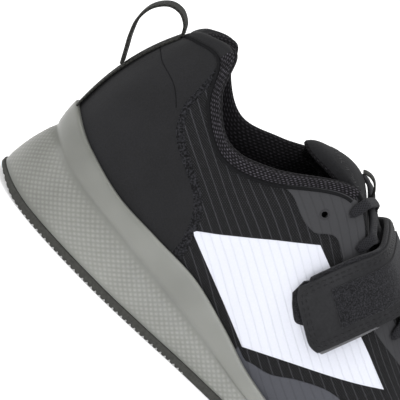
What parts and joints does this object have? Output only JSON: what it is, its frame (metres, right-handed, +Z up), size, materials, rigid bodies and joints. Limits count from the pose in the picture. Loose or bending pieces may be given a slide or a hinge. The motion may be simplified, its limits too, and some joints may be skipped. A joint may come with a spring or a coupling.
{
  "type": "weightlifting shoe",
  "caption": "Low weightlifting shoe with a wedge sole, hollow woven upper, padded collar, laces and an instep strap.",
  "frame": {"origin": "on the floor under the heel pad, 75 mm in front of the rearmost point of the sole", "axes": "+Z up from the floor, +Y towards the toe, +X towards the outer side of the right foot"},
  "size_m": [0.0994, 0.295, 0.1155],
  "materials": {
    "outsole_rubber": "matte grey rubber",
    "midsole_clear": "semi-clear grey thermoplastic polyurethane",
    "insole_cloth": "black knit over foam",
    "woven": "black ripstop with fine ribs",
    "knit": "grey-flecked spacer knit",
    "film": "smooth dark grey film",
    "toe_film": "smooth grey film",
    "counter_cloth": "smooth matte black",
    "pale_film": "matte white film",
    "ribbon": "black woven tape",
    "strap_leather": "charcoal synthetic leather",
    "pile": "black loop pile",
    "lace_cord": "black woven lace"
  },
  "bodies": {
    "root": {"outsole": "outsole_rubber", "midsole": "midsole_clear", "insole": "insole_cloth", "upper": "woven", "collar_cuff": "knit", "tongue": "knit", "eyestay_outer": "film", "eyestay_inner": "film", "toe_film": "toe_film", "counter": "counter_cloth", "side_panel_outer": "pale_film", "side_panel_inner": "pale_film", "heel_tape": "ribbon", "pull_loop": "ribbon", "strap": "strap_leather", "strap_pad": "pile", "lace": "lace_cord"}
  },
  "joints": []
}
